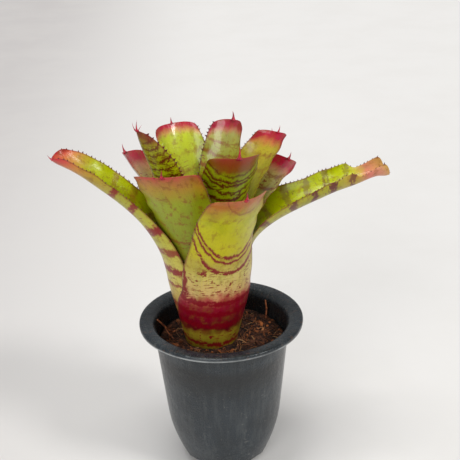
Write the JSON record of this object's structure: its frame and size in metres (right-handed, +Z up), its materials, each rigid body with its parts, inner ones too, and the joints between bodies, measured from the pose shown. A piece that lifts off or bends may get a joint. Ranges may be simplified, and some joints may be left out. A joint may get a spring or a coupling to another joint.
{
  "type": "potted bromeliad",
  "caption": "Tank bromeliad with broad banded strap leaves and red tips, in coir potting mix in a round footed plastic nursery pot with a flared lip.",
  "frame": {"origin": "on the ground, under the middle of the leaves' spread; the pot's axis stands 4.9 mm to its left", "axes": "+Z up, +X to the right and -Y towards the viewer, seen from the side that the front leaf is on"},
  "size_m": [0.214, 0.1283, 0.2459],
  "materials": {
    "pot_plastic": "dusty black polypropylene, semi-matt",
    "potting_mix": "moist coir and bark chips",
    "stem": "fibrous green-brown stem",
    "leaf": "glossy yellow-green leaf with maroon bands and a crimson tip",
    "root": "dry brown root"
  },
  "bodies": {
    "root": {"pot": "pot_plastic", "potting_mix": "potting_mix", "stem": "stem", "front_leaf": "leaf", "left_arching_leaf": "leaf", "right_arching_leaf": "leaf", "back_outer_leaf": "leaf", "front_left_leaf": "leaf", "right_red_leaf": "leaf", "left_red_leaf": "leaf", "back_right_leaf": "leaf", "left_spiny_leaf": "leaf", "front_inner_leaf": "leaf", "back_left_leaf": "leaf", "back_leaf": "leaf", "young_leaf": "leaf", "standing_root": "root", "leaning_root": "root"}
  },
  "joints": []
}
